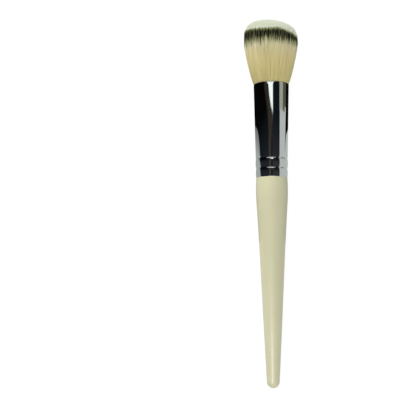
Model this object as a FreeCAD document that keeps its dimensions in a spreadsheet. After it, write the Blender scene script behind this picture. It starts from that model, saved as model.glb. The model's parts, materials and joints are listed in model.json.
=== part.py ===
# Flat top makeup brush, lying at rest: turned handle, crimped ferrule, resin plug and filament bundle.
#
# Millimetres. Each piece is drawn upright, with its axis on Z: z = 0 is the handle's shoulder, where the
# ferrule's foot sits, the tail is below and the tuft above. The finished pieces then share one placement,
# which lays the brush on the plane z = 0 with its head towards +X and the origin under its middle.
import FreeCAD
import Part

import math
import os

import Sketcher
from FreeCAD import Vector

SIZES = {
    # handle, below the shoulder
    "handle_length": 103.3,
    "handle_radius": 7.97,
    "swelling_at": 6.0,
    "swelling_arc": 100.0,
    "swelling_end": 11.8,
    "shoulder_round": 0.6,
    "waist_at": 32.0,
    "waist_radius": 6.6,
    "tail_radius": 3.15,
    # tenon, the part of the handle inside the ferrule
    "tenon_length": 22.0,
    "tenon_chamfer": 0.8,
    # ferrule
    "ferrule_length": 47.6,
    "ferrule_wall": 0.4,
    "foot_radius": 7.78,
    "mouth_radius": 8.89,
    "crimp_low": 4.8,
    "crimp_high": 9.7,
    "crimp_half": 0.6,
    "crimp_floor": 0.3,
    "crimp_bite": 0.1,
    "bead_height": 0.14,
    "lip_chamfer": 0.12,
    # resin plug
    "plug_length": 8.0,
    "glue_gap": 0.05,
    # tuft, above the ferrule's mouth
    "tuft_reach": 32.65,
    "tuft_radius": 13.7,
    "tuft_widest": 21.4,
    "spread_reach": 1.2,
    "spread_rise": 1.5,
    "belly_reach": 2.6,
    "dome_radius": 27.0,
    "shoulder_radius": 6.5,
    "crown_slant": 5.5,
    "flat_depth": 0.9,
    # locks, the fine ridges in which the filaments gather
    "lock_count": 72,
    "lock_depth": 0.36,
}

# shares of the flank, of the crown's shoulder and of its dome at which the locks have a level
FLANK_STEPS = (0.0, 0.14, 0.28, 0.42, 0.56, 0.7, 0.85, 1.0)
SHOULDER_STEPS = (0.0, 0.25, 0.5, 0.75)
DOME_STEPS = (1.0, 0.66, 0.33)
# the part of a lock that is its flat ridge
RIDGE_SHARE = 0.4

document = FreeCAD.newDocument("FlatTopBrush")


class Length:
    """A number, kept together with the sheet formula that gives it."""

    def __init__(self, number, formula):
        self.number = number
        self.formula = formula

    def __add__(self, other):
        other = as_length(other)
        return Length(self.number + other.number, f"({self.formula} + {other.formula})")

    def __sub__(self, other):
        other = as_length(other)
        return Length(self.number - other.number, f"({self.formula} - {other.formula})")

    def __mul__(self, other):
        other = as_length(other)
        return Length(self.number * other.number, f"({self.formula} * {other.formula})")

    def __truediv__(self, other):
        other = as_length(other)
        return Length(self.number / other.number, f"({self.formula} / {other.formula})")

    def __neg__(self):
        return Length(-self.number, f"(0 - {self.formula})")


def as_length(value):
    return value if isinstance(value, Length) else Length(value, str(value))


def root(value):
    return Length(math.sqrt(value.number), f"sqrt({value.formula})")


def sine(degrees):
    return Length(math.sin(math.radians(degrees.number)), f"sin({degrees.formula})")


def cosine(degrees):
    return Length(math.cos(math.radians(degrees.number)), f"cos({degrees.formula})")


def angle_with_sine(value):
    return Length(math.degrees(math.asin(value.number)), f"asin({value.formula})")


def angle_with_cosine(value):
    return Length(math.degrees(math.acos(value.number)), f"acos({value.formula})")


def arc_radius(half_chord, sagitta):
    """Radius of the arc that rises by sagitta over the middle of its chord."""
    return (half_chord * half_chord + sagitta * sagitta) / (sagitta * 2)


def make_sheet():
    """Writes the driving sizes to the sheet, and gives each one back as a Length."""
    sheet = document.addObject("Spreadsheet::Sheet", "Sizes")
    lengths = {}
    for row, (alias, number) in enumerate(SIZES.items(), start=1):
        sheet.set(f"A{row}", alias)
        sheet.set(f"B{row}", str(number))
        sheet.setAlias(f"B{row}", alias)
        lengths[alias] = Length(number, f"Sizes.{alias}")
    document.recompute()
    return lengths


size = make_sheet()
ON_AXIS = Length(0.0, "0")
ON_SHOULDER = Length(0.0, "0")


def origin_plane(body, role):
    return next(item for item in body.Origin.OriginFeatures if item.Role == role)


def bent_side(start, end, radius, bulge):
    """Arc from start to end. It bulges to the right of that way where bulge is 1, to the left at -1."""
    chord = end - start
    rightwards = Vector(chord.y, -chord.x, 0).normalize()
    rise = radius - math.sqrt(max(radius**2 - (chord.Length / 2) ** 2, 0.0))
    return Part.Arc(start, start + chord * 0.5 + rightwards * (rise * bulge), end)


def pin_corner(sketch, number, side, point, radius, height):
    """Holds one corner at its distance from the axis and its height above the shoulder."""
    for kind, length, word, axis in (
        ("DistanceX", radius, "radius", -2),
        ("DistanceY", height, "height", -1),
    ):
        if length is ON_AXIS or length is ON_SHOULDER:
            sketch.addConstraint(Sketcher.Constraint("PointOnObject", side, point, axis))
            continue
        index = sketch.addConstraint(Sketcher.Constraint(kind, -1, 1, side, point, length.number))
        sketch.renameConstraint(index, f"{word}_{number}")
        sketch.setExpression(f"Constraints.{word}_{number}", length.formula)


def draw_profile(body, name, corners):
    """Closed outline on the body's XZ plane.

    A corner is (radius, height) where a straight side follows it, or (radius, height, arc, bulge)
    where an arc does.
    """
    sketch = body.newObject("Sketcher::SketchObject", name)
    sketch.AttachmentSupport = (origin_plane(body, "XZ_Plane"), [""])
    sketch.MapMode = "FlatFace"
    places = [Vector(corner[0].number, corner[1].number, 0) for corner in corners]
    sides = []
    for start, end, corner in zip(places, places[1:] + places[:1], corners):
        if len(corner) == 2:
            sides.append((sketch.addGeometry(Part.LineSegment(start, end), False), 1, 2))
            continue
        side = sketch.addGeometry(bent_side(start, end, corner[2].number, corner[3]), False)
        first = sketch.getPoint(side, 1)
        turned = first.distanceToPoint(start) > first.distanceToPoint(end)
        sides.append((side, 2, 1) if turned else (side, 1, 2))
    for number, corner in enumerate(corners):
        side, start_point, _ = sides[number]
        last_side, _, end_point = sides[number - 1]
        sketch.addConstraint(Sketcher.Constraint("Coincident", last_side, end_point, side, start_point))
        pin_corner(sketch, number, side, start_point, corner[0], corner[1])
        if len(corner) > 2:
            index = sketch.addConstraint(Sketcher.Constraint("Radius", side, corner[2].number))
            sketch.renameConstraint(index, f"arc_{number}")
            sketch.setExpression(f"Constraints.arc_{number}", corner[2].formula)
    return sketch


def turn(name, corners):
    """Body turned about Z from a closed outline."""
    body = document.addObject("PartDesign::Body", name)
    body.Label = name
    sketch = draw_profile(body, f"{name}_profile", corners)
    turned = body.newObject("PartDesign::Revolution", f"{name}_turned")
    turned.Profile = sketch
    turned.ReferenceAxis = (sketch, ["V_Axis"])
    turned.Angle = 360
    sketch.Visibility = False
    body.Tip = turned
    document.recompute()
    return body


def ferrule_radius(height):
    """Outer radius of the ferrule's plain taper, without its beads and crimps."""
    rise = size["mouth_radius"] - size["foot_radius"]
    return size["foot_radius"] + rise * height / size["ferrule_length"]


def bore_radius(height):
    """Radius that fills the ferrule's bore up to the film of glue."""
    return ferrule_radius(height) - size["ferrule_wall"] - size["glue_gap"]


TENON_RADIUS = bore_radius(as_length(0.0))
CRIMP_RADIUS = size["foot_radius"] - size["crimp_bite"]
CRIMPS = (size["crimp_low"], size["crimp_high"])


def crimp(height, rim):
    """Corners of the ring pressed in around this height, where rim gives the radius of its edges."""
    half = size["crimp_half"]
    floor = size["crimp_floor"] / 2
    return [
        (rim(height - half), height - half),
        (CRIMP_RADIUS, height - floor),
        (CRIMP_RADIUS, height + floor),
        (rim(height + half), height + half),
    ]


def make_handle():
    length = size["handle_length"]
    tail = size["tail_radius"]
    swelling_middle = size["handle_radius"] - size["swelling_arc"]

    def swelling_radius(depth):
        off = depth - size["swelling_at"]
        return swelling_middle + root(size["swelling_arc"] * size["swelling_arc"] - off * off)

    tail_slope = (size["waist_radius"] - tail) / (length - size["waist_at"])
    tail_end = (tail * root(as_length(1.0) - tail_slope * tail_slope), tail - length - tail * tail_slope)
    swelling_foot = (swelling_radius(size["swelling_end"]), -size["swelling_end"])
    rounded = (swelling_radius(size["shoulder_round"]), -size["shoulder_round"])
    overhang = rounded[0] - size["foot_radius"]
    round_chord = root(overhang * overhang + size["shoulder_round"] * size["shoulder_round"])
    # the round leaves the swelling upright, so its centre is level with the round's lower end
    round_arc = round_chord * round_chord / (overhang * 2)
    tenon_top = size["tenon_length"]
    chamfer = size["tenon_chamfer"]
    filling = size["ferrule_wall"] + size["glue_gap"]
    # the ferrule's crimps bite into two grooves of the tenon
    grooves = []
    for height in CRIMPS:
        for radius, level in crimp(height, lambda _: size["foot_radius"]):
            grooves.append((radius - filling, level))
    return turn(
        "handle",
        [
            (ON_AXIS, -length, tail, 1),
            tail_end,
            (size["waist_radius"], -size["waist_at"]),
            (*swelling_foot, size["swelling_arc"], 1),
            (*rounded, round_arc, 1),
            (size["foot_radius"], ON_SHOULDER),
            (TENON_RADIUS, ON_SHOULDER),
            *grooves,
            (TENON_RADIUS, tenon_top - chamfer),
            (TENON_RADIUS - chamfer, tenon_top),
            (ON_AXIS, tenon_top),
        ],
    )


def make_ferrule():
    """Tapered tube with the same wall all along: up its outside over beads and crimps, down its bore."""
    wall = size["ferrule_wall"]
    lip = size["lip_chamfer"]
    mouth = size["ferrule_length"]
    outside = [(size["foot_radius"], ON_SHOULDER)]
    for height in CRIMPS:
        foot_radius, foot_height = outside[-1]
        pressed = crimp(height, ferrule_radius)
        across = pressed[0][0] - foot_radius
        along = pressed[0][1] - foot_height
        bead = arc_radius(root(across * across + along * along) / 2, size["bead_height"])
        outside[-1] = (foot_radius, foot_height, bead, 1)
        outside += pressed
    outside.append((ferrule_radius(mouth - lip), mouth - lip))
    inside = [(corner[0] - wall, corner[1]) for corner in reversed(outside)]
    edge = [(outside[-1][0] - lip, mouth), (inside[0][0] + lip, mouth)]
    return turn("ferrule", outside + edge + inside)


def make_plug():
    """Resin cast between the tenon's end and the filament roots."""
    bottom = size["tenon_length"]
    top = bottom + size["plug_length"]
    return turn(
        "resin_plug",
        [(ON_AXIS, bottom), (bore_radius(bottom), bottom), (bore_radius(top), top), (ON_AXIS, top)],
    )


DOME_REACH = size["dome_radius"] - size["shoulder_radius"]
SHOULDER_OFFSET = size["tuft_radius"] - size["shoulder_radius"]
DOME_DROP = root(DOME_REACH * DOME_REACH - SHOULDER_OFFSET * SHOULDER_OFFSET)
CROWN_PIVOT = size["ferrule_length"] + size["tuft_reach"] + DOME_DROP - size["dome_radius"]
TAIL_CENTRE = size["tail_radius"] - size["handle_length"]
WIDEST_HEIGHT = size["ferrule_length"] + size["tuft_widest"]
# the brush lies on the round of its tail and on the flattened side of the tuft
RESTING_RADIUS = size["tuft_radius"] - size["flat_depth"]
LEAN_SINE = (RESTING_RADIUS - size["tail_radius"]) / (WIDEST_HEIGHT - TAIL_CENTRE)
LEAN = angle_with_sine(LEAN_SINE)
TIP_OVER = angle_with_cosine(LEAN_SINE)
FLOOR_DROP = size["tail_radius"] - TAIL_CENTRE * LEAN_SINE


def flank_point(share):
    """Radius and height on the flank, a cubic curve from the ferrule's mouth to the widest place."""
    mouth = size["ferrule_length"].number
    start = bore_radius(size["ferrule_length"]).number
    widest = size["tuft_radius"].number
    reach = size["tuft_widest"].number
    poles = (
        (start, 0.0),
        (start + size["spread_rise"].number, size["spread_reach"].number),
        (widest, reach - size["belly_reach"].number),
        (widest, reach),
    )
    left = 1 - share
    weights = (left**3, 3 * left**2 * share, 3 * left * share**2, share**3)
    radius = sum(weight * pole[0] for weight, pole in zip(weights, poles))
    height = sum(weight * pole[1] for weight, pole in zip(weights, poles))
    return radius, mouth + height


def crown_points():
    """Radius and height of each level of the crown above its pivot: round shoulder, then low dome."""
    shoulder = size["shoulder_radius"].number
    offset = SHOULDER_OFFSET.number
    dome = size["dome_radius"].number
    drop = DOME_DROP.number
    meeting = math.atan2(drop, offset)
    points = []
    for share in SHOULDER_STEPS:
        angle = share * meeting
        points.append((offset + shoulder * math.cos(angle), shoulder * math.sin(angle)))
    for share in DOME_STEPS:
        angle = math.pi / 2 - share * (math.pi / 2 - meeting)
        points.append((dome * math.cos(angle), dome * math.sin(angle) - drop))
    return points


def lock_ring(radius, height):
    """Corners of one level of the bundle: flat-topped ridges with a valley between each two.

    The valleys are as deep a share of the radius at every level, so that each side is one flat face.
    """
    count = round(size["lock_count"].number)
    valley = radius * (1 - size["lock_depth"].number / size["tuft_radius"].number)
    pitch = 2 * math.pi / count
    half_ridge = RIDGE_SHARE * pitch / 2
    corners = []
    for number in range(count):
        for offset, reach in ((-half_ridge, radius), (half_ridge, radius), (pitch / 2, valley)):
            angle = number * pitch + offset
            corners.append(Vector(reach * math.cos(angle), reach * math.sin(angle), height))
    return corners


def flat_face(*corners):
    return Part.Face(Part.makePolygon([*corners, corners[0]]))


def make_locks():
    """The whole filament bundle, with a ridge for each lock that runs out over the slanted crown."""
    roots = (size["tenon_length"] + size["plug_length"]).number
    flank = [lock_ring(bore_radius(as_length(roots)).number, roots)]
    flank += [lock_ring(*flank_point(share)) for share in FLANK_STEPS]
    slant = FreeCAD.Placement(
        Vector(0, 0, CROWN_PIVOT.number),
        FreeCAD.Rotation(Vector(1, 0, 0), size["crown_slant"].number),
    )
    crown = [[slant.multVec(corner) for corner in lock_ring(*point)] for point in crown_points()]
    rings = flank + crown
    faces = [flat_face(*rings[0]), flat_face(*rings[-1])]
    for lower, upper in zip(rings, rings[1:]):
        for number in range(len(lower)):
            after = (number + 1) % len(lower)
            low_left, low_right = lower[number], lower[after]
            high_left, high_right = upper[number], upper[after]
            if upper is crown[0]:
                # a level ring below and a slanted one above need triangles to be flat
                faces.append(flat_face(low_left, low_right, high_left))
                faces.append(flat_face(low_right, high_right, high_left))
            else:
                faces.append(flat_face(low_left, low_right, high_right, high_left))
    shell = Part.makeShell(faces)
    shell.sewShape()
    locks = document.addObject("Part::Feature", "locks")
    locks.Shape = Part.makeSolid(shell)
    return locks


def placement_formula(radius, across, height, turned_about, degrees):
    spot = f"vector({radius.formula}; {across.formula}; {height.formula})"
    return f"placement({spot}; rotation(vector({turned_about}); {degrees.formula}))"


def make_hair_bundle():
    """The locks, flattened on the side that the brush lies on."""
    floor = document.addObject("Part::Box", "floor_block")
    length = size["handle_length"] + CROWN_PIVOT + size["dome_radius"]
    for name, formula in (
        ("Length", (size["tuft_radius"] * 2).formula),
        ("Width", (size["tuft_radius"] * 4).formula),
        ("Height", length.formula),
    ):
        floor.setExpression(name, formula)
    spot = placement_formula(
        FLOOR_DROP * cosine(LEAN),
        -(size["tuft_radius"] * 2),
        -(FLOOR_DROP * LEAN_SINE),
        "0; 1; 0",
        LEAN,
    )
    floor.setExpression("Placement", spot)
    bundle = document.addObject("Part::Cut", "hair_bundle")
    bundle.Base = make_locks()
    bundle.Tool = floor
    bundle.Refine = False
    document.recompute()
    return bundle


def lay_down(first, others):
    """Lays the brush on z = 0, head towards +X, with the origin midway between tail and crown."""
    dome_side = CROWN_PIVOT - DOME_DROP * cosine(size["crown_slant"])
    tail_end = TAIL_CENTRE * cosine(LEAN) - size["tail_radius"]
    head_end = dome_side * cosine(LEAN) + size["dome_radius"]
    middle = (tail_end + head_end) / 2
    lying = placement_formula(-middle, as_length(0.0), FLOOR_DROP, "0; 1; 0", TIP_OVER)
    first.setExpression("Placement", lying)
    for piece in others:
        piece.setExpression("Placement", f"{first.Name}.Placement")
    document.recompute()


def export(pieces):
    for item in document.Objects:
        if "Invalid" in item.State or "Error" in item.State:
            raise RuntimeError(f"{item.Label} failed: {item.State}")
    for piece in pieces:
        if piece.Shape.isNull() or not piece.Shape.isValid() or len(piece.Shape.Solids) != 1:
            raise RuntimeError(f"{piece.Label} isn't one valid solid")
    os.makedirs("parts", exist_ok=True)
    for piece in pieces:
        piece.Shape.exportStep(f"parts/{piece.Label}.step")


handle = make_handle()
ferrule = make_ferrule()
resin_plug = make_plug()
hair_bundle = make_hair_bundle()
lay_down(handle, [ferrule, resin_plug, hair_bundle])
export([handle, ferrule, resin_plug, hair_bundle])
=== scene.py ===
# Looks of the flat top makeup brush: lacquered handle, chromed ferrule and banded filament tuft.
#
# The brush's own frame is millimetres with its axis on Z: z = 0 is the handle's shoulder, where the
# ferrule's foot sits, the tail is below and the tuft above. BRUSH takes that frame to the scene's metres.
# There, -X of the brush's frame looks up at the camera and +Y lies on the left of the picture.
import json
import math

import bpy
import numpy as np
from mathutils import Matrix, Vector

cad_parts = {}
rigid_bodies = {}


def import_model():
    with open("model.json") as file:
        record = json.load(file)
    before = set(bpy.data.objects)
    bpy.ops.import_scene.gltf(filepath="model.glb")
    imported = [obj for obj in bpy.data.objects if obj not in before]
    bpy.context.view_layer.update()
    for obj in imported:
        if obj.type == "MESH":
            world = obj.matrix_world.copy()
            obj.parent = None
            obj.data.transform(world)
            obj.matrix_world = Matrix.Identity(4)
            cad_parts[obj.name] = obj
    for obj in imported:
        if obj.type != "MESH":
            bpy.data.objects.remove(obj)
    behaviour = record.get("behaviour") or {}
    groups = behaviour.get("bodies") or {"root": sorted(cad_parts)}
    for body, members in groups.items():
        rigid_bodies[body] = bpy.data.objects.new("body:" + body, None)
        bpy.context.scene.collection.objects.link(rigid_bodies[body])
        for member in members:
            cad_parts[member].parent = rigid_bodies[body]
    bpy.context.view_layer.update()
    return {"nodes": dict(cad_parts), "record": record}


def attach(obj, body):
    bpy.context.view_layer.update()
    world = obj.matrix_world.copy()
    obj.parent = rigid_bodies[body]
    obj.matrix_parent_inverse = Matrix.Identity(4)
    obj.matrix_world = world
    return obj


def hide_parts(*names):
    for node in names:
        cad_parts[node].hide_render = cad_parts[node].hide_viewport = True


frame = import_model()

MM = 0.001
# level of the record's grip mount, from which the brush's frame is found
GRIP_LEVEL = -6.0

# sizes in millimetres, as in the part's source
HANDLE_LENGTH = 103.3
HANDLE_RADIUS = 7.97
SWELLING_AT = 6.0
SWELLING_ARC = 100.0
SWELLING_END = 11.8
SHOULDER_ROUND = 0.6
TAIL_RADIUS = 3.15
FERRULE_LENGTH = 47.6
FOOT_RADIUS = 7.78
MOUTH_RADIUS = 8.89
FERRULE_WALL = 0.4
GLUE_GAP = 0.05
CRIMPS = (4.8, 9.7)
CRIMP_HALF = 0.6
CRIMP_FLOOR = 0.3
BEAD_HEIGHT = 0.14
TUFT_RADIUS = 13.7
TUFT_WIDEST = 21.4
TUFT_REACH = 32.65
SPREAD_REACH = 1.2
SPREAD_RISE = 1.5
BELLY_REACH = 2.6
DOME_RADIUS = 27.0
SHOULDER_RADIUS = 6.5
CROWN_SLANT = math.radians(5.5)

SHOULDER_OFFSET = TUFT_RADIUS - SHOULDER_RADIUS
DOME_DROP = math.sqrt((DOME_RADIUS - SHOULDER_RADIUS) ** 2 - SHOULDER_OFFSET**2)
CROWN_PIVOT = FERRULE_LENGTH + TUFT_REACH + DOME_DROP - DOME_RADIUS
WIDEST_LEVEL = FERRULE_LENGTH + TUFT_WIDEST

# sizes of this scene alone, in millimetres: the source presses its crimps deeper, chamfers the
# ferrule's ends and makes the hollow taper of the handle from two straight ones
CRIMP_DEPTH = 0.12
LIP_ROUND = 0.12
FOOT_ROUND = 0.12
TAPER_HOLLOW = 1.32
# a turned outline stops this far from the axis, so that its ends have no faces without area
AXIS_HOLE = 0.0001
# the shoulder's round ends this far inside the ferrule's foot
SHOULDER_TUCK = 0.05

# the shade chart has this many locks, and each of them this many shades for its filaments
LOCKS = 64
SHADES_PER_LOCK = 4
SHADES = LOCKS * SHADES_PER_LOCK
# columns of one shade stand this far apart in the chart, as a share of the shade's own width
COLUMN_STEP = 0.3
# places for locks round the tuft, each 0.4 mm wide on its flank
LOCK_PLACES = 216
# places of the dark band's edges along a filament, as shares of its shade chart
BAND_LOW = 0.6
BAND_HIGH = 0.75
# levels of the band's edges in the tuft's middle, without the hump of the upper one
BAND_FOOT_LEVEL = 68.15
BAND_TOP_LEVEL = 73.7
# the chart starts this far inside the ferrule and ends at this level above the crown
CHART_FOOT = 4.0
CHART_TOP = 83.0

# the camera, in millimetres of the brush's frame
CAMERA_PLACE = (-397.675, 36.0, -55.0)
CAMERA_PITCH = math.radians(6.3)
CAMERA_ROLL = math.radians(0.16)

# what the room and the floor give as light, and how white the floor looks
ROOM_LIGHT = 0.57
FLOOR_LIGHT = 0.26
FLOOR_WHITE = 0.93

# the Mix node's sockets for colours, which share their names with those for numbers
MIX_FIRST = 6
MIX_SECOND = 7
MIX_RESULT = 2


def brush_frame():
    """Takes millimetres in the brush's own frame to the scene's metres."""
    grip = next(mount for mount in frame["record"]["mounts"] if mount["name"] == "grip")
    axis = Vector(grip["axis"]).normalized()
    across = Vector((0.0, 1.0, 0.0))
    down = across.cross(axis)
    origin = Vector(grip["pos_m"]) - axis * (GRIP_LEVEL * MM)
    turned = Matrix((down, across, axis)).transposed().to_4x4()
    return Matrix.Translation(origin) @ turned @ Matrix.Scale(MM, 4)


BRUSH = brush_frame()


def to_scene(places):
    """Scene metres for an array of millimetre places in the brush's frame."""
    matrix = np.array(BRUSH)
    return places @ matrix[:3, :3].T + matrix[:3, 3]


def set_camera():
    """Long lens over the tail's side of the brush, tipped a little towards the head."""
    data = bpy.data.cameras.new("camera")
    data.sensor_width = 36.0
    data.lens = 72.0
    data.clip_start = 0.01
    camera = bpy.data.objects.new("camera", data)
    bpy.context.scene.collection.objects.link(camera)
    turned = BRUSH.to_3x3().normalized()
    down, across, axis = (turned.col[i] for i in range(3))
    forward = down * math.cos(CAMERA_PITCH) + axis * math.sin(CAMERA_PITCH)
    right = -across
    upward = right.cross(forward)
    looking = Matrix((right, upward, -forward)).transposed().to_4x4()
    roll = Matrix.Rotation(CAMERA_ROLL, 4, "Z")
    camera.matrix_world = Matrix.Translation(BRUSH @ Vector(CAMERA_PLACE)) @ looking @ roll
    bpy.context.scene.camera = camera


def linear(hex_colour):
    """Linear RGBA of an sRGB hex colour."""
    channels = []
    for start in (1, 3, 5):
        value = int(hex_colour[start : start + 2], 16) / 255
        channels.append(value / 12.92 if value <= 0.04045 else ((value + 0.055) / 1.055) ** 2.4)
    return (*channels, 1.0)


def new_material(name):
    """Empty material and its node tree."""
    material = bpy.data.materials.new(name)
    material.use_nodes = True
    material.node_tree.nodes.clear()
    return material, material.node_tree


def add_node(tree, kind, settings=None, inputs=None):
    """Adds a node. Settings are its own properties; an input is given a value or another node's output."""
    node = tree.nodes.new(kind)
    for name, value in (settings or {}).items():
        setattr(node, name, value)
    for name, value in (inputs or {}).items():
        if isinstance(value, bpy.types.NodeSocket):
            tree.links.new(value, node.inputs[name])
        else:
            node.inputs[name].default_value = value
    return node


def set_ramp(ramp, stops):
    """Colours of a ramp, as (place, hex colour) from low to high."""
    elements = ramp.color_ramp.elements
    while len(elements) > 1:
        elements.remove(elements[-1])
    for number, (place, colour) in enumerate(stops):
        element = elements[0] if number == 0 else elements.new(place)
        element.position = place
        element.color = linear(colour)


def sprayed_satin_lacquer():
    """Cream lacquer sprayed on turned wood: even colour, soft gloss, the faintest orange peel."""
    material, tree = new_material("sprayed_satin_lacquer")
    place = add_node(tree, "ShaderNodeTexCoord")
    # clouds 25 mm wide where the coat is a touch thicker
    clouds = add_node(
        tree,
        "ShaderNodeTexNoise",
        inputs={"Vector": place.outputs["Object"], "Scale": 1 / (25.0 * MM), "Detail": 2.0},
    )
    colour = add_node(tree, "ShaderNodeValToRGB", inputs={"Fac": clouds.outputs["Fac"]})
    set_ramp(colour, [(0.3, "#CECBA8"), (0.7, "#D3D0AE")])
    # orange peel of 0.8 mm, drawn coarser than the real 0.4 mm so that it shows
    peel = add_node(
        tree,
        "ShaderNodeTexNoise",
        inputs={"Vector": place.outputs["Object"], "Scale": 1 / (0.8 * MM), "Detail": 1.0},
    )
    bump = add_node(
        tree,
        "ShaderNodeBump",
        inputs={"Height": peel.outputs["Fac"], "Strength": 0.05, "Distance": 0.05 * MM},
    )
    shader = add_node(
        tree,
        "ShaderNodeBsdfPrincipled",
        inputs={
            "Base Color": colour.outputs["Color"],
            "Roughness": 0.28,
            "IOR": 1.5,
            "Normal": bump.outputs["Normal"],
        },
    )
    add_node(tree, "ShaderNodeOutputMaterial", inputs={"Surface": shader.outputs["BSDF"]})
    return material


def polished_chrome_plate():
    """Chrome plated on drawn brass and polished: a near mirror, a little hazier in soft patches."""
    material, tree = new_material("polished_chrome_plate")
    place = add_node(tree, "ShaderNodeTexCoord")
    # hazy patches of 6 mm, where the mop polished less
    haze = add_node(
        tree,
        "ShaderNodeTexNoise",
        inputs={"Vector": place.outputs["Object"], "Scale": 1 / (6.0 * MM), "Detail": 3.0},
    )
    rough = add_node(
        tree,
        "ShaderNodeMapRange",
        inputs={"Value": haze.outputs["Fac"], "To Min": 0.05, "To Max": 0.09},
    )
    shader = add_node(
        tree,
        "ShaderNodeBsdfPrincipled",
        inputs={
            "Base Color": linear("#E9EAEB"),
            "Metallic": 1.0,
            "Roughness": rough.outputs["Result"],
        },
    )
    add_node(tree, "ShaderNodeOutputMaterial", inputs={"Surface": shader.outputs["BSDF"]})
    return material


def dyed_nylon_filament():
    """Nylon filament, extruded, tapered and dip-dyed: cream below, a ragged dark band, pale tips with
    painted light and shade along them.

    The shade chart gives the place along a filament upwards and the filament's own shade across.
    """
    material, tree = new_material("dyed_nylon_filament")
    chart = add_node(tree, "ShaderNodeUVMap", {"uv_map": "OFBake"})
    split = add_node(tree, "ShaderNodeSeparateXYZ", inputs={"Vector": chart.outputs["UV"]})
    across, along = split.outputs["X"], split.outputs["Y"]

    def chance(groups, seed):
        """A number from 0 to 1 that is the same all over one lock or one filament shade."""
        column = add_node(tree, "ShaderNodeMath", {"operation": "MULTIPLY"}, {0: across, 1: float(groups)})
        whole = add_node(tree, "ShaderNodeMath", {"operation": "FLOOR"}, {0: column.outputs[0]})
        moved = add_node(tree, "ShaderNodeMath", {"operation": "ADD"}, {0: whole.outputs[0], 1: seed})
        noise = add_node(
            tree, "ShaderNodeTexWhiteNoise", {"noise_dimensions": "1D"}, {"W": moved.outputs[0]}
        )
        return noise.outputs["Value"]

    def shifted(lock_shift, filament_shift, seed):
        """Place along the filament, moved by up to half these shares for its lock and for itself."""
        by_lock = add_node(
            tree,
            "ShaderNodeMapRange",
            inputs={"Value": chance(LOCKS, seed), "To Min": -lock_shift / 2, "To Max": lock_shift / 2},
        )
        by_filament = add_node(
            tree,
            "ShaderNodeMapRange",
            inputs={
                "Value": chance(SHADES, seed + 0.5),
                "To Min": -filament_shift / 2,
                "To Max": filament_shift / 2,
            },
        )
        both = add_node(
            tree, "ShaderNodeMath", {"operation": "ADD"}, {0: by_lock.outputs[0], 1: by_filament.outputs[0]}
        )
        moved = add_node(tree, "ShaderNodeMath", {"operation": "ADD"}, {0: along, 1: both.outputs[0]})
        return moved.outputs[0]

    body = add_node(tree, "ShaderNodeValToRGB", inputs={"Fac": along})
    set_ramp(
        body,
        [
            (0.0, "#D2C68B"),
            (0.2, "#DFD396"),
            (0.4, "#EBDEA6"),
            (0.55, "#E9E2BA"),
            (0.62, "#D8DAA4"),
            (0.745, "#CFD696"),
            # painted light and shade on the pale tips: made brighter just above the band, where little lamp
            # light reaches, and darker at their ends on the crown's top, where the head lamp falls
            (0.77, "#FAFEEC"),
            (1.0, "#E6EAD8"),
        ],
    )
    # the dye crept down between the filaments, and its upper edge is sharper
    low_blur = 0.03
    high_blur = 0.012
    low_edge = add_node(
        tree,
        "ShaderNodeMapRange",
        inputs={
            "Value": shifted(0.05, 0.09, 3.0),
            "From Min": BAND_LOW - low_blur,
            "From Max": BAND_LOW + low_blur,
        },
    )
    high_edge = add_node(
        tree,
        "ShaderNodeMapRange",
        inputs={
            "Value": shifted(0.02, 0.045, 7.0),
            "From Min": BAND_HIGH + high_blur,
            "From Max": BAND_HIGH - high_blur,
        },
    )
    dyed = add_node(
        tree,
        "ShaderNodeMath",
        {"operation": "MULTIPLY"},
        {0: low_edge.outputs["Result"], 1: high_edge.outputs["Result"]},
    )
    # some filaments took less of the dye
    takes_dye = add_node(
        tree,
        "ShaderNodeMapRange",
        inputs={"Value": chance(SHADES, 5.0), "From Min": 0.7, "To Min": 1.0, "To Max": 0.55},
    )
    dye = add_node(
        tree,
        "ShaderNodeMath",
        {"operation": "MULTIPLY"},
        {0: dyed.outputs[0], 1: takes_dye.outputs["Result"]},
    )
    banded = add_node(
        tree,
        "ShaderNodeMix",
        {"data_type": "RGBA"},
        {"Factor": dye.outputs[0], MIX_FIRST: body.outputs["Color"], MIX_SECOND: linear("#161608")},
    )
    tone = add_node(
        tree,
        "ShaderNodeMapRange",
        inputs={"Value": chance(SHADES, 11.0), "To Min": 0.97, "To Max": 1.03},
    )
    shaded = add_node(
        tree,
        "ShaderNodeVectorMath",
        {"operation": "SCALE"},
        {0: banded.outputs[MIX_RESULT], "Scale": tone.outputs["Result"]},
    )
    shader = add_node(
        tree,
        "ShaderNodeBsdfPrincipled",
        inputs={
            "Base Color": shaded.outputs[0],
            "Roughness": 0.55,
            "IOR": 1.53,
            "Specular IOR Level": 0.15,
        },
    )
    add_node(tree, "ShaderNodeOutputMaterial", inputs={"Surface": shader.outputs["BSDF"]})
    return material


def cast_amber_resin():
    """Epoxy resin cast in the ferrule: clear amber with a wet gloss. Only a cut would show it."""
    material, tree = new_material("cast_amber_resin")
    place = add_node(tree, "ShaderNodeTexCoord")
    # cloudy spots of 1 mm from trapped air
    bubbles = add_node(
        tree,
        "ShaderNodeTexNoise",
        inputs={"Vector": place.outputs["Object"], "Scale": 1 / (1.0 * MM), "Detail": 2.0},
    )
    colour = add_node(tree, "ShaderNodeValToRGB", inputs={"Fac": bubbles.outputs["Fac"]})
    set_ramp(colour, [(0.35, "#A88748"), (0.65, "#C2A061")])
    shader = add_node(
        tree,
        "ShaderNodeBsdfPrincipled",
        inputs={"Base Color": colour.outputs["Color"], "Roughness": 0.15, "IOR": 1.55},
    )
    add_node(tree, "ShaderNodeOutputMaterial", inputs={"Surface": shader.outputs["BSDF"]})
    return material


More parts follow.
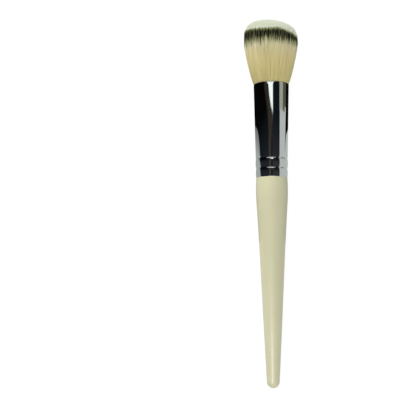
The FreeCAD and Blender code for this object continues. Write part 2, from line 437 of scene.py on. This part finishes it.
def flank_curve(share):
    """Radius and level on the tuft's flank, for an array of shares from the mouth to the widest place."""
    start = MOUTH_RADIUS - FERRULE_WALL - GLUE_GAP
    poles = (
        (start, 0.0),
        (start + SPREAD_RISE, SPREAD_REACH),
        (TUFT_RADIUS, TUFT_WIDEST - BELLY_REACH),
        (TUFT_RADIUS, TUFT_WIDEST),
    )
    left = 1 - share
    weights = (left**3, 3 * left**2 * share, 3 * left * share**2, share**3)
    radius = sum(weight * pole[0] for weight, pole in zip(weights, poles))
    level = sum(weight * pole[1] for weight, pole in zip(weights, poles))
    return radius, FERRULE_LENGTH + level


def crown_height(reach):
    """Height of the crown above its pivot, at these distances from its middle."""
    shoulder = np.sqrt(np.maximum(SHOULDER_RADIUS**2 - (reach - SHOULDER_OFFSET) ** 2, 0.0))
    dome = np.sqrt(DOME_RADIUS**2 - reach**2) - DOME_DROP
    meeting = SHOULDER_OFFSET * DOME_RADIUS / (DOME_RADIUS - SHOULDER_RADIUS)
    return np.where(reach > meeting, shoulder, dome)


def band_edges(x, y):
    """Levels of the dark band's lower and upper edge at these places across the tuft.

    Both edges climb towards the picture's left and away from the camera. The upper one has a low hump
    near the middle and falls away at the right shoulder.
    """
    right = y < 0
    side = np.abs(y) / TUFT_RADIUS
    fall = np.where(right, 2.2 * side**3, -0.7 * side**4)
    hump = 0.6 * np.exp(-(((y + 2.5) / 3.0) ** 2))
    upper = BAND_TOP_LEVEL + 0.06 * y + 0.066 * x - fall + hump
    lower = BAND_FOOT_LEVEL + 0.035 * y + 0.05 * x - np.where(right, -0.5, 0.8) * side**6
    return lower, upper


def chart_place(level, lower, upper):
    """Share of the shade chart at this level, for a band between lower and upper."""
    below = BAND_LOW * (level - FERRULE_LENGTH + CHART_FOOT) / (lower - FERRULE_LENGTH + CHART_FOOT)
    inside = BAND_LOW + (BAND_HIGH - BAND_LOW) * (level - lower) / (upper - lower)
    above = BAND_HIGH + (0.99 - BAND_HIGH) * (level - upper) / (CHART_TOP - upper)
    place = np.where(level < lower, below, np.where(level < upper, inside, above))
    return np.clip(place, 0.005, 0.995)


def rest_on_floor(places, clearance):
    """Presses what would reach under the floor up on it, for scene places in metres."""
    pressed = places.copy()
    low = places[..., 2] < clearance
    pressed[..., 2] = np.where(low, clearance, places[..., 2])
    return pressed


def add_object(name, mesh, material):
    """Gives a mesh its material and puts it in the scene."""
    mesh.materials.append(material)
    added = bpy.data.objects.new(name, mesh)
    bpy.context.scene.collection.objects.link(added)
    return added


def add_mesh(name, vertices, faces, chart, material):
    """Smooth mesh of quads from arrays, with its shade chart given at each vertex."""
    mesh = bpy.data.meshes.new(name)
    mesh.vertices.add(len(vertices))
    mesh.vertices.foreach_set("co", vertices.astype(np.float32).ravel())
    mesh.loops.add(faces.size)
    mesh.loops.foreach_set("vertex_index", faces.astype(np.int32).ravel())
    mesh.polygons.add(len(faces))
    mesh.polygons.foreach_set("loop_start", np.arange(0, faces.size, 4, dtype=np.int32))
    mesh.polygons.foreach_set("use_smooth", np.ones(len(faces), dtype=bool))
    layer = mesh.uv_layers.new(name="OFBake")
    layer.data.foreach_set("uv", chart[faces.ravel()].astype(np.float32).ravel())
    mesh.update()
    mesh.validate()
    return add_object(name, mesh, material)


def dress_tuft(piece):
    """Every piece of the tuft stands for a part of the hair bundle's one solid."""
    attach(piece, "root")
    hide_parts("hair_bundle")


FILAMENT_SIDES = 3
# how far above the floor the pressed filaments and the core lie, in metres
PRESSED_LIFT = (0.05 * MM, 0.9 * MM)
CORE_LIFT = 1.0 * MM


def add_filaments(name, centres, widths, shade, chart_along, material):
    """Tapered three-sided filaments: centres are (filaments, levels, 3) in the brush's frame."""
    count, levels, _ = centres.shape
    spread = np.linalg.norm(centres[:, :, :2], axis=2, keepdims=True)
    outward = centres.copy()
    outward[:, :, 2] = 0.0
    outward /= np.maximum(spread, 1e-6)
    sideways = np.stack((-outward[:, :, 1], outward[:, :, 0], np.zeros((count, levels))), axis=2)
    random = np.random.default_rng(5)
    turn = random.uniform(0, 2 * math.pi, size=(count, 1, 1))
    corners = []
    for side in range(FILAMENT_SIDES):
        angle = turn + 2 * math.pi * side / FILAMENT_SIDES
        push = outward * np.cos(angle) + sideways * np.sin(angle)
        corners.append(centres + push * (widths / 2)[:, :, None])
    places = np.stack(corners, axis=2)
    lift = random.uniform(*PRESSED_LIFT, size=(count, 1, 1))
    scene_places = rest_on_floor(to_scene(places.reshape(-1, 3)).reshape(count, levels, -1, 3), lift)
    number = np.arange(count * levels * FILAMENT_SIDES).reshape(count, levels, FILAMENT_SIDES)
    turned = np.roll(number, -1, axis=2)
    faces = np.stack((number[:, :-1], turned[:, :-1], turned[:, 1:], number[:, 1:]), axis=-1)
    # each side has its own column in the middle of the filament's shade
    across = (shade[:, None, None] + 0.5 + (np.arange(FILAMENT_SIDES) - 1) * COLUMN_STEP) / SHADES
    chart = np.stack(
        (
            np.broadcast_to(across, places.shape[:3]),
            np.broadcast_to(chart_along[:, :, None], places.shape[:3]),
        ),
        axis=-1,
    )
    piece = add_mesh(name, scene_places.reshape(-1, 3), faces.reshape(-1, 4), chart.reshape(-1, 2), material)
    dress_tuft(piece)


# share of the filaments that have another lock's shade
STRAYS = 0.15


def lock_shades(angle, random):
    """A shade for each filament, mostly that of the lock it stands in."""
    lock = np.floor((angle / (2 * math.pi)) * LOCK_PLACES).astype(int) % LOCK_PLACES
    lock_shade = random.permutation(LOCK_PLACES)[lock] % LOCKS
    stray = random.random(len(angle)) < STRAYS
    lock_shade = np.where(stray, random.integers(0, LOCKS, len(angle)), lock_shade)
    return lock_shade * SHADES_PER_LOCK + random.integers(0, SHADES_PER_LOCK, len(angle))


INWARD_BEND = 0.4


def filament_path(angle, share, flank_steps, crown_steps, reach_over):
    """Radius and level of filaments that keep their share of the tuft's radius and bend in at the crown.

    There is one of both for each step, first up the flank and then from the widest place to the tip,
    which ends reach_over above the crown.
    """
    tip_reach = TUFT_RADIUS * share * (1 - INWARD_BEND) / (1 - share * INWARD_BEND)
    tip_height = crown_height(tip_reach) + reach_over
    radius, level = flank_curve(flank_steps)
    flank_radius = share[:, None] * radius[None, :]
    flank_level = np.broadcast_to(level, flank_radius.shape)
    slope = math.tan(CROWN_SLANT) * np.sin(angle) * tip_reach
    tip_level = CROWN_PIVOT + tip_height + slope
    rise = tip_level[:, None] - WIDEST_LEVEL
    crown_level = WIDEST_LEVEL + rise * crown_steps[None, :]
    bend = crown_steps[None, :] ** 2
    top_radius = share[:, None] * TUFT_RADIUS * (1 - bend) + tip_reach[:, None] * bend
    radius = np.concatenate((flank_radius, top_radius), axis=1)
    level = np.concatenate((flank_level, crown_level), axis=1)
    return radius, level


def make_flank_filaments(material):
    """Filaments of the outer layer, seen from the ferrule's mouth up to the crown's shoulder."""
    pieces = 4
    each = 2200
    width = 0.15
    tip_taper = np.array([0.9, 0.7, 0.2])
    # the layer's inner and outer radius, as shares of the tuft's
    inner = 0.915
    outer = 0.997
    # a filament leans aside by about this many radians at its tip
    lean = 0.035
    # the foot stands a little inside the ferrule's mouth
    flank_steps = np.array([-0.06, 0.05, 0.2, 0.35, 0.5, 0.65, 0.8, 0.93])
    crown_steps = np.array([0.1, 0.45, 0.8, 1.0])
    for number in range(pieces):
        random = np.random.default_rng(20 + number)
        angle = random.uniform(0, 2 * math.pi, each)
        share = np.sqrt(random.uniform(inner**2, outer**2, each))
        over = random.uniform(-0.45, 0.3, each)
        radius, level = filament_path(angle, share, flank_steps, crown_steps, over)
        wander = random.normal(0, lean, each)[:, None] * np.linspace(0, 1, radius.shape[1])[None, :] ** 2
        turned = angle[:, None] + wander
        x = radius * np.cos(turned)
        y = radius * np.sin(turned)
        lower, upper = band_edges(x, y)
        widths = np.full(radius.shape, width)
        widths[:, -3:] *= tip_taper
        add_filaments(
            f"flank_filaments_{number + 1}",
            np.stack((x, y, level), axis=2),
            widths,
            lock_shades(angle, random),
            chart_place(level, lower, upper),
            material,
        )


GOLDEN_ANGLE = math.pi * (3 - math.sqrt(5))


def make_crown_filaments(material):
    """Upper ends of the filaments that stand inside the tuft and end on its crown."""
    pieces = 2
    each = 5000
    width = 0.18
    tip_taper = np.array([1.0, 0.9, 0.5])
    # the outermost of them, as a share of the tuft's radius
    outer = 0.96
    # how much the places are shaken, in radians and in places of the order
    angle_shake = 0.03
    order_shake = 250
    crown_steps = np.array([0.35, 0.65, 0.88, 1.0])
    for number in range(pieces):
        random = np.random.default_rng(40 + number)
        # spread like a sunflower's seeds, so that the crown is equally dense everywhere
        order = np.arange(number, pieces * each, pieces)
        angle = order * GOLDEN_ANGLE + random.normal(0, angle_shake, each)
        filled = (order + random.normal(0, order_shake, each)) / (pieces * each)
        share = outer * np.sqrt(np.clip(filled, 0.0, 1.0))
        over = random.uniform(-0.25, 0.3, each)
        radius, level = filament_path(angle, share, np.zeros(0), crown_steps, over)
        x = radius * np.cos(angle[:, None])
        y = radius * np.sin(angle[:, None])
        lower, upper = band_edges(x, y)
        widths = np.full(radius.shape, width)
        widths[:, -3:] *= tip_taper
        add_filaments(
            f"crown_filaments_{number + 1}",
            np.stack((x, y, level), axis=2),
            widths,
            random.integers(0, SHADES, each),
            chart_place(level, lower, upper),
            material,
        )


def make_tuft_core(material):
    """Closed body just under the outer filaments, so that no light passes between them."""
    around = 256
    # the core's share of the tuft's radius and of its crown's height, and how far under it the crown lies
    share = 0.93
    crown_share = 0.97
    crown_drop = 0.5
    radius, level = flank_curve(np.linspace(-0.06, 1.0, 16))
    # rings over the crown, closer together towards its edge
    reach = np.linspace(1.0, 0.0, 18) ** 0.6 * TUFT_RADIUS * share
    profile_radius = np.concatenate((radius * share, reach))
    angle = np.arange(around + 1) * 2 * math.pi / around
    slope = math.tan(CROWN_SLANT) * np.sin(angle)[None, :] * reach[:, None]
    crown_level = CROWN_PIVOT - crown_drop + crown_height(reach / share)[:, None] * crown_share + slope
    flank_level = np.broadcast_to(level[:, None], (len(level), around + 1))
    levels = np.concatenate((flank_level, crown_level), axis=0)
    x = profile_radius[:, None] * np.cos(angle)[None, :]
    y = profile_radius[:, None] * np.sin(angle)[None, :]
    lower, upper = band_edges(x, y)
    places = to_scene(np.stack((x, y, levels), axis=-1).reshape(-1, 3))
    places = rest_on_floor(places, CORE_LIFT)
    along = chart_place(levels, lower, upper)
    rows = levels.shape[0]
    # each strip round the core has its own vertices, so that it can have its own shade
    number = np.arange(places.shape[0]).reshape(rows, around + 1)
    random = np.random.default_rng(3)
    shade = random.integers(0, SHADES, around)
    left = np.stack((number[:-1, :-1], number[1:, :-1]), axis=-1)
    right = np.stack((number[1:, 1:], number[:-1, 1:]), axis=-1)
    faces = np.concatenate((left, right), axis=-1).reshape(-1, 4)
    strip = np.tile(np.arange(around), rows - 1)
    vertices = places[faces.ravel()]
    columns = np.array([-COLUMN_STEP, -COLUMN_STEP, COLUMN_STEP, COLUMN_STEP])
    chart_across = (shade[strip][:, None] + 0.5 + columns[None, :]) / SHADES
    chart = np.stack((chart_across.ravel(), along.ravel()[faces.ravel()]), axis=-1)
    own_faces = np.arange(faces.size).reshape(-1, 4)
    piece = add_mesh("tuft_core", vertices, own_faces, chart, material)
    dress_tuft(piece)


def turn_on_axis(name, profile, around, material):
    """Smooth closed ring or solid from (radius, level) corners, turned round the brush's axis."""
    radius, level = np.array(profile).T
    angle = np.arange(around) * 2 * math.pi / around
    x = radius[:, None] * np.cos(angle)[None, :]
    y = radius[:, None] * np.sin(angle)[None, :]
    z = np.broadcast_to(level[:, None], x.shape)
    places = to_scene(np.stack((x, y, z), axis=-1).reshape(-1, 3))
    number = np.arange(len(places)).reshape(len(profile), around)
    turned = np.roll(number, -1, axis=1)
    faces = np.stack((number[:-1], turned[:-1], turned[1:], number[1:]), axis=-1).reshape(-1, 4)
    mesh = bpy.data.meshes.new(name)
    mesh.from_pydata(places.tolist(), [], faces.tolist())
    mesh.polygons.foreach_set("use_smooth", np.ones(len(faces), dtype=bool))
    return add_object(name, mesh, material)


def handle_radius(level):
    """Radius of the handle between its tail's round and its shoulder's round."""
    middle = HANDLE_RADIUS - SWELLING_ARC
    if level > -SWELLING_END:
        return middle + math.sqrt(SWELLING_ARC**2 - (level + SWELLING_AT) ** 2)
    top = middle + math.sqrt(SWELLING_ARC**2 - (SWELLING_AT - SWELLING_END) ** 2)
    share = (-level - SWELLING_END) / (HANDLE_LENGTH - TAIL_RADIUS - SWELLING_END)
    return top + (TAIL_RADIUS - top) * share - TAPER_HOLLOW * share * (1 - share) ** 3


def make_handle():
    """Round tail, taper, swelling and round shoulder, which ends just inside the ferrule's foot."""
    tail_steps = 16
    tail_turn = math.radians(87)
    shoulder_steps = 8
    profile = [(AXIS_HOLE, -HANDLE_LENGTH)]
    for step in range(1, tail_steps):
        turned = step / tail_steps * tail_turn
        level = TAIL_RADIUS * (1 - math.cos(turned)) - HANDLE_LENGTH
        profile.append((TAIL_RADIUS * math.sin(turned), level))
    for level in np.linspace(TAIL_RADIUS - HANDLE_LENGTH, -SHOULDER_ROUND, 100):
        profile.append((handle_radius(level), level))
    rounded = handle_radius(-SHOULDER_ROUND)
    overhang = rounded - FOOT_RADIUS + SHOULDER_TUCK
    for step in range(1, shoulder_steps + 1):
        turned = step / shoulder_steps * math.pi / 2
        level = -SHOULDER_ROUND * (1 - math.sin(turned))
        profile.append((rounded - overhang * (1 - math.cos(turned)), level))
    profile.append((FOOT_RADIUS - FERRULE_WALL, 0.0))
    profile.append((AXIS_HOLE, 0.0))
    piece = turn_on_axis("lacquered_handle", profile, 128, sprayed_satin_lacquer())
    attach(piece, "root")
    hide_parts("handle")


def ferrule_radius(level):
    """Outer radius of the ferrule, with its two beads and its two pressed rings."""
    radius = FOOT_RADIUS + (MOUTH_RADIUS - FOOT_RADIUS) * level / FERRULE_LENGTH
    bead_foot = 0.0
    for crimp in CRIMPS:
        bead_top = crimp - CRIMP_HALF
        if bead_foot <= level <= bead_top:
            off = (2 * level - bead_foot - bead_top) / (bead_top - bead_foot)
            return radius + BEAD_HEIGHT * (1 - off**2)
        if abs(level - crimp) < CRIMP_HALF:
            wall = (CRIMP_HALF - abs(level - crimp)) / (CRIMP_HALF - CRIMP_FLOOR / 2)
            return radius - CRIMP_DEPTH * min(wall, 1.0)
        bead_foot = crimp + CRIMP_HALF
    return radius


def make_ferrule():
    """Tube with a rounded foot and lip. Its rings of corners stand close together at the crimps only."""
    steps = 6
    fine = np.arange(0.0, CRIMPS[1] + 1.0, 0.05)
    plain = np.linspace(CRIMPS[1] + 1.2, FERRULE_LENGTH - LIP_ROUND, 24)
    levels = [float(level) for level in (*fine, *plain)]
    outside = [(ferrule_radius(level), level) for level in levels if level > FOOT_ROUND]
    foot = []
    for step in range(steps):
        turned = step / steps * math.pi / 2
        radius = FOOT_RADIUS - FOOT_ROUND * (1 - math.sin(turned))
        foot.append((radius, FOOT_ROUND * (1 - math.cos(turned))))
    top = outside[-1][0]
    lip = []
    for step in range(1, steps):
        turned = step / steps * math.pi / 2
        level = FERRULE_LENGTH - LIP_ROUND * (1 - math.sin(turned))
        lip.append((top - LIP_ROUND * (1 - math.cos(turned)), level))
    inner_lip = [(2 * top - FERRULE_WALL - radius, level) for radius, level in reversed(lip)]
    inside = [(radius - FERRULE_WALL, level) for radius, level in reversed(outside[::4])]
    inside.append((FOOT_RADIUS - FERRULE_WALL, 0.0))
    profile = foot + outside + lip + inner_lip + inside + foot[:1]
    piece = turn_on_axis("chromed_ferrule", profile, 160, polished_chrome_plate())
    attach(piece, "root")
    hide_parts("ferrule")


def dress_plug():
    """The plug keeps its CAD shape. The ferrule hides it."""
    for slot in frame["nodes"]["resin_plug"].material_slots:
        slot.material = cast_amber_resin()


def strength_by_ray(tree, as_light, as_seen):
    """Strength of a glow: what it gives as light, and what the eye, mirrors and glass see of it."""
    path = add_node(tree, "ShaderNodeLightPath")
    seen = path.outputs["Is Camera Ray"]
    for ray in ("Is Glossy Ray", "Is Transmission Ray"):
        either = add_node(tree, "ShaderNodeMath", {"operation": "MAXIMUM"}, {0: seen, 1: path.outputs[ray]})
        seen = either.outputs[0]
    strength = add_node(
        tree, "ShaderNodeMapRange", inputs={"Value": seen, "To Min": as_light, "To Max": as_seen}
    )
    return strength.outputs["Result"]


def set_world():
    """White room. The eye and mirror-like surfaces see it white, and it lights the brush a little less."""
    world = bpy.data.worlds.new("white_room")
    world.use_nodes = True
    tree = world.node_tree
    tree.nodes.clear()
    background = add_node(
        tree,
        "ShaderNodeBackground",
        inputs={"Color": linear("#FFFFFF"), "Strength": strength_by_ray(tree, ROOM_LIGHT, 1.0)},
    )
    add_node(tree, "ShaderNodeOutputWorld", inputs={"Surface": background.outputs["Background"]})
    bpy.context.scene.world = world


def add_floor():
    """White paper sweep. The eye sees it white, less the brush's own soft shadow."""
    material, tree = new_material("matt_white_paper")
    white = add_node(
        tree,
        "ShaderNodeEmission",
        inputs={"Color": linear("#FFFFFF"), "Strength": strength_by_ray(tree, FLOOR_LIGHT, FLOOR_WHITE)},
    )
    # the part of the paper that takes the shadow
    dark_paper = add_node(tree, "ShaderNodeBsdfDiffuse", inputs={"Color": linear("#5C5C5C")})
    both = add_node(
        tree, "ShaderNodeAddShader", inputs={0: white.outputs["Emission"], 1: dark_paper.outputs["BSDF"]}
    )
    add_node(tree, "ShaderNodeOutputMaterial", inputs={"Surface": both.outputs["Shader"]})
    mesh = bpy.data.meshes.new("floor")
    half = 1.5
    corners = [(-half, -half, 0), (half, -half, 0), (half, half, 0), (-half, half, 0)]
    mesh.from_pydata(corners, [], [(0, 1, 2, 3)])
    floor = add_object("floor", mesh, material)


def card_material(name, colour, strength=1.0):
    """Studio board, lit by itself so that it shows the same tone wherever it is mirrored."""
    material, tree = new_material(name)
    glow = add_node(tree, "ShaderNodeEmission", inputs={"Color": linear(colour), "Strength": strength})
    add_node(tree, "ShaderNodeOutputMaterial", inputs={"Surface": glow.outputs["Emission"]})
    return material


def stage_board(name, places, faces, material):
    """A board that only mirror-like surfaces see: it casts no shadow and lights nothing."""
    mesh = bpy.data.meshes.new(name)
    mesh.from_pydata([tuple(place) for place in places], [], faces)
    board = add_object(name, mesh, material)
    board.visible_camera = False
    board.visible_diffuse = False
    board.visible_transmission = False
    board.visible_shadow = False


ARCH_RADIUS = 150.0


def add_arched_board(name, rows, material, layer=0):
    """Board bent round the brush's axis. A row is (level, left angle, right angle), in mm and degrees.

    Angles are counted from straight over the brush, positive to the picture's left. The layers lie 1 mm
    apart, layer 0 nearest to the brush, and a board hides what is behind it.
    """
    steps = 24
    radius = ARCH_RADIUS + layer
    places = []
    for level, left, right in rows:
        for step in range(steps + 1):
            angle = math.radians(left + (right - left) * step / steps)
            places.append((-radius * math.cos(angle), radius * math.sin(angle), level))
    faces = []
    for row in range(len(rows) - 1):
        for step in range(steps):
            corner = row * (steps + 1) + step
            faces.append((corner, corner + 1, corner + steps + 2, corner + steps + 1))
    stage_board(name, to_scene(np.array(places)), faces, material)


def add_floor_board(name, corners, material, height=0.3):
    """Flat board just over the floor, from corners in the scene's millimetres."""
    places = [(x * MM, y * MM, height * MM) for x, y in corners]
    stage_board(name, places, [tuple(range(len(places)))], material)


def graded_card(name, tail_colour, head_colour, tail_place, head_place):
    """Studio board that changes its tone along the brush, between two places on the scene's X in mm."""
    material, tree = new_material(name)
    place = add_node(tree, "ShaderNodeTexCoord")
    split = add_node(tree, "ShaderNodeSeparateXYZ", inputs={"Vector": place.outputs["Object"]})
    share = add_node(
        tree,
        "ShaderNodeMapRange",
        inputs={"Value": split.outputs["X"], "From Min": tail_place * MM, "From Max": head_place * MM},
    )
    tone = add_node(
        tree,
        "ShaderNodeMix",
        {"data_type": "RGBA"},
        {
            "Factor": share.outputs["Result"],
            MIX_FIRST: linear(tail_colour),
            MIX_SECOND: linear(head_colour),
        },
    )
    glow = add_node(tree, "ShaderNodeEmission", inputs={"Color": tone.outputs[MIX_RESULT], "Strength": 1.0})
    add_node(tree, "ShaderNodeOutputMaterial", inputs={"Surface": glow.outputs["Emission"]})
    return material


def set_boards():
    """Boards round the ferrule that give the chrome its dark, wedge-lit look.

    The layers over the brush are, from the back: the dark boards, the gap's board, the fringe, the brown
    lines, and the white, grey and olive boards.
    """
    black = card_material("black_flock_board", "#070706")
    dark_left = graded_card("dark_left_board", "#20262C", "#060606", 26, 64)
    dark_right = graded_card("dark_right_board", "#323437", "#12171B", 15, 60)
    white = card_material("white_foam_board", "#F4FBF6", 1.2)
    far_white = card_material("shaded_foam_board", "#B4B6B4")
    tail_lamp = card_material("lit_diffuser", "#FFFFFF", 1.6)
    grey = card_material("grey_card", "#BEC4C0")
    grey_left = graded_card("dim_grey_card", "#ADB2AF", "#747674", 26, 40)
    olive = card_material("olive_card", "#A2A698")
    dark_olive = card_material("dark_olive_card", "#55564A")
    brown = graded_card("brown_card", "#46463F", "#362F28", 20, 50)
    thin_brown = card_material("thin_brown_card", "#26221E")
    fringe_brown = card_material("fringe_card", "#2F2A23")
    add_arched_board("board_dark_left", [(-260, 96, -1), (330, 96, -1)], dark_left, 4)
    add_arched_board("board_dark_right", [(-260, 0, -52), (330, 0, -52)], dark_right, 4)
    add_arched_board("board_gap", [(-120, 12, 0), (50, 12, 0)], thin_brown, 3)
    rows = [(42, 24, 10), (54, 29, 10), (61, 34, 13), (75.5, 51, 27), (330, 58, 38)]
    add_arched_board("board_fringe", rows, fringe_brown, 2)
    rows = [(-120, 22, 12), (20, 22, 12), (36, 25, 11), (46, 25, 2), (56, 24, 4)]
    add_arched_board("board_brown_line", rows, brown, 1)
    add_arched_board("board_brown_line_2", [(-260, 3, 0), (57, 1, -3)], thin_brown, 1)
    rows = [(56.5, -4, -5), (61, 8, -5), (68, 17, -5), (76, 23, -5), (96, 32, -10)]
    add_arched_board("board_wedge", rows, white)
    rows = [(96, 32, -10), (104, 42, -24), (140, 48, -32), (330, 48, -40)]
    add_arched_board("board_wedge_far", rows, far_white)
    add_arched_board("board_tail_lamp", [(-104, 42, -24), (-250, 42, -24)], tail_lamp)
    add_arched_board("board_grey_right", [(-120, -52, -93), (60, -52, -93)], grey)
    add_arched_board("board_olive_right", [(60, -49.5, -76), (330, -49.5, -76)], olive)
    add_arched_board("board_dark_olive", [(60, -76, -93), (330, -76, -93)], dark_olive)
    add_floor_board("flag_black_left", [(40.5, 9), (400, 9), (400, 400), (40.5, 400)], black)
    add_floor_board("flag_grey_left", [(-20, 6), (40.5, 6), (40.5, 400), (-20, 400)], grey_left)
    inner_edge = [(40.5, -3), (62, -3), (70, -9), (500, -9)]
    outer_edge = [(500, -64), (67, -62), (54, -56), (42, -58), (33, -66)]
    tail_edge = [(32, -60), (38, -38), (38.5, -16)]
    add_floor_board("flag_black_right", inner_edge + outer_edge + tail_edge, black, 0.4)
    corners = [(-20, -6), (56, -6), (56, -50), (65, -93), (80, -170), (80, -900), (-20, -900)]
    add_floor_board("flag_grey_right", corners, grey)
    corners = [(56, -50), (500, -50), (500, -900), (80, -900), (80, -170), (65, -93)]
    add_floor_board("flag_olive_right", corners, dark_olive)


def add_softbox(name, place, target, length, width, power, mirrored=False, kept_off=()):
    """Area lamp with its length along the brush. Glossy surfaces mirror it only where that is asked for.

    A flag keeps its light off the pieces that kept_off names.
    """
    data = bpy.data.lights.new(name, "AREA")
    data.shape = "RECTANGLE"
    data.size = length
    data.size_y = width
    data.energy = power
    lamp = bpy.data.objects.new(name, data)
    bpy.context.scene.collection.objects.link(lamp)
    lamp.location = place
    lamp.rotation_euler = (Vector(target) - Vector(place)).to_track_quat("-Z", "Y").to_euler()
    lamp.visible_glossy = mirrored
    if kept_off:
        flagged = bpy.data.collections.new(name + "_flagged")
        lamp.light_linking.receiver_collection = flagged
        for number, piece in enumerate(kept_off):
            flagged.objects.link(bpy.data.objects[piece])
            flagged.collection_objects[number].light_linking.link_state = "EXCLUDE"


set_camera()
filament = dyed_nylon_filament()
make_tuft_core(filament)
make_flank_filaments(filament)
make_crown_filaments(filament)
make_handle()
make_ferrule()
dress_plug()
set_world()
add_floor()
set_boards()
add_softbox("tail_softbox", (-0.6, 0.0, 0.8), (0.02, 0.0, 0.0), 0.6, 0.6, 1.9)
add_softbox("head_softbox", (1.0, 0.3, 0.2), (0.08, 0.0, 0.013), 0.35, 0.35, 11.8)
add_softbox(
    "strip_softbox",
    (-0.36, 0.26, 0.82),
    (-0.06, 0.0, 0.0),
    0.14,
    0.1,
    1.5,
    mirrored=True,
    kept_off=["chromed_ferrule"],
)

bpy.context.scene.view_settings.view_transform = "Standard"
